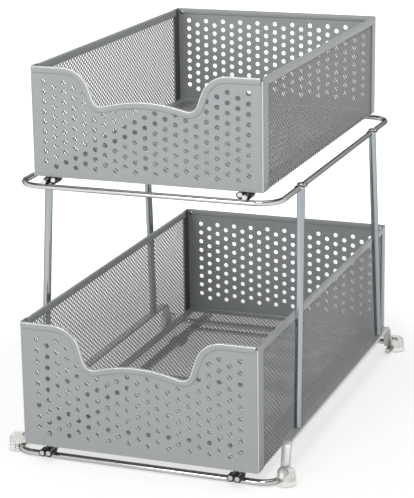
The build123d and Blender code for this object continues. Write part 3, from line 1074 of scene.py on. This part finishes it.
def buildFrontGuides():
    # two lobes that clip round a rail and a runner, joined by a block between and above them
    look = guideLook
    for tier in ("upper", "lower"):
        runnerLow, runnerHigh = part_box(tier + "_basket_right_runner")
        railLow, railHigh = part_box(tier + "_rail_right")
        wires = [(runnerLow + runnerHigh) / 2, (railLow + railHigh) / 2]
        radius = (runnerHigh.x - runnerLow.x) / 2 + look["wall"]
        for side, hand in ((-1, "left"), (1, "right")):
            node = f"{tier}_front_guide_{hand}"
            low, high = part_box(node)
            start, end = low.y, low.y + look["length"]
            lobes = [[Vector((side * w.x, start, w.z)), Vector((side * w.x, end, w.z))]
                     for w in wires]
            z = high.z - look["bridge"] / 2
            middle = side * (wires[0].x + wires[1].x) / 2
            front = start + look["bridgeSetback"]
            block = strand([[Vector((middle, front, z)), Vector((middle, end, z))]],
                           abs(wires[1].x - wires[0].x) + radius, look["bridge"],
                           look["bridgeCorner"], "guideBlock", "blackNylon")
            clips = roundWire(lobes, radius, "blackNylon")
            for vertex in clips.vertices:
                # the runner slides in a clip that is open at the top
                vertex.co.z = min(max(vertex.co.z, low.z), high.z - look["lobeDrop"])
            addPiece(f"{tier}FrontGuide{hand.title()}", joined([clips, block]), "blackNylon",
                     "frame", [node])


buildFrontGuides()
buildLoop()
buildBaseRods()
buildSideStrips()
buildScrews(buildPosts())
buildFeet()
for name, node in nodes.items():
    if "back_guide" in name:
        node.data.materials[0] = paint["blackNylon"]
print("frame made")


# camera, floor and light

cameraLook = {
    "location": (0.65416, -1.77322, 0.71125), "turn": 20.605, "down": 15.971, "roll": -0.761,
    "lens": 131.13,
}
cameraData = bpy.data.cameras.new("camera")
cameraData.lens = cameraLook["lens"]
camera = bpy.data.objects.new("camera", cameraData)
scene.collection.objects.link(camera)
aim = turned(cameraLook["turn"], "Z") @ turned(90 - cameraLook["down"], "X")
aim = aim @ turned(cameraLook["roll"], "Z")
camera.matrix_world = Matrix.Translation(cameraLook["location"]) @ aim
scene.camera = camera

roomLook = {
    "ambient": 0.55,
    "floorHalf": 14,
    "floorPlain": 0.8,  # what the floor sends back to the object
    "floorSeen": 0.52,  # what the camera and reflections see of it, with its glow
    "floorGlow": 0.62,
    "shadowReach": 0.62,
    "darkBandLow": (0.46, 0.60),  # sines of the band's edges above the horizon
    "darkBandHigh": (0.82, 0.94),
    "darkBandTone": 0.10,
}
lampLook = {
    "keyLight": {"at": (0.50, -2.2, 2.4), "size": 0.9, "power": 24},
    "fillLight": {"at": (-0.6, -2.8, 0.90), "size": 0.7, "power": 16},
}
lampTarget = Vector((0, 0, 0.2))


def seenDirectly(tree):
    # 1 for what the camera, a reflection or a clear part looks at
    rays = addNode(tree, "ShaderNodeLightPath").outputs
    shiny = maths(tree, "MAXIMUM", rays["Is Glossy Ray"], rays["Is Transmission Ray"])
    return maths(tree, "MAXIMUM", rays["Is Camera Ray"], shiny)


def buildFloor():
    material = bpy.data.materials.new("paleFloor")
    material.use_nodes = True
    tree = material.node_tree
    tree.nodes.clear()
    plain, seen = roomLook["floorPlain"], roomLook["floorSeen"]
    base = nodeOut(tree, "ShaderNodeBsdfDiffuse", {"Color": (plain, plain, plain, 1)})
    matte = nodeOut(tree, "ShaderNodeBsdfDiffuse", {"Color": (seen, seen, seen, 1)})
    place = addNode(tree, "ShaderNodeTexCoord").outputs["Object"]
    away = addNode(tree, "ShaderNodeVectorMath", {0: place}, operation="LENGTH").outputs["Value"]
    reach = roomLook["shadowReach"]  # the floor is plain white from here on
    level = nodeOut(tree, "ShaderNodeMapRange", {
        "Value": away, "From Min": reach / 2, "From Max": reach,
        "To Min": roomLook["floorGlow"], "To Max": 1.0})
    glow = nodeOut(tree, "ShaderNodeEmission", {"Strength": level})
    shown = nodeOut(tree, "ShaderNodeAddShader", {0: matte, 1: glow})
    mix = nodeOut(tree, "ShaderNodeMixShader", {0: seenDirectly(tree), 1: base, 2: shown})
    addNode(tree, "ShaderNodeOutputMaterial", {0: mix})
    mesh = bpy.data.meshes.new("floor")
    size = roomLook["floorHalf"]
    mesh.from_pydata([(-size, -size, 0), (size, -size, 0), (size, size, 0), (-size, size, 0)],
                     [], [(0, 1, 2, 3)])
    mesh.materials.append(material)
    floor = bpy.data.objects.new("floor", mesh)
    scene.collection.objects.link(floor)


def buildLights():
    world = bpy.data.worlds.new("studio")
    scene.world = world
    world.use_nodes = True
    tree = world.node_tree
    grey = roomLook["ambient"]
    # a dark band high on the studio's wall, which only reflections see, draws the dark line
    # along the wires; in a world, Position is the direction on the sky
    sky = addNode(tree, "ShaderNodeNewGeometry").outputs["Position"]
    height = addNode(tree, "ShaderNodeSeparateXYZ", {0: sky}).outputs[2]
    rise, fall = (nodeOut(tree, "ShaderNodeMapRange", {
        "Value": height, "From Min": roomLook[edge][0], "From Max": roomLook[edge][1],
        "To Max": 1 - roomLook["darkBandTone"]})
        for edge in ("darkBandLow", "darkBandHigh"))
    shiny = addNode(tree, "ShaderNodeLightPath").outputs["Is Glossy Ray"]
    band = maths(tree, "SUBTRACT", rise, fall)
    level = maths(tree, "SUBTRACT", 1, maths(tree, "MULTIPLY", band, shiny))
    mixed = addNode(tree, "ShaderNodeMix", {
        0: seenDirectly(tree), 6: (grey, grey, grey, 1), 7: greyLevel(tree, level)},
        data_type="RGBA")
    tree.links.new(mixed.outputs[2], tree.nodes["Background"].inputs["Color"])
    for name, look in lampLook.items():
        data = bpy.data.lights.new(name, "AREA")
        data.size = look["size"]
        data.energy = look["power"]
        lamp = bpy.data.objects.new(name, data)
        lamp.location = look["at"]
        aimed = (lampTarget - Vector(look["at"])).to_track_quat("-Z", "Y")
        lamp.rotation_euler = aimed.to_euler()
        scene.collection.objects.link(lamp)


buildFloor()
buildLights()
scene.view_settings.view_transform = "Standard"
print("camera, floor and lights made")

bpy.context.view_layer.update()
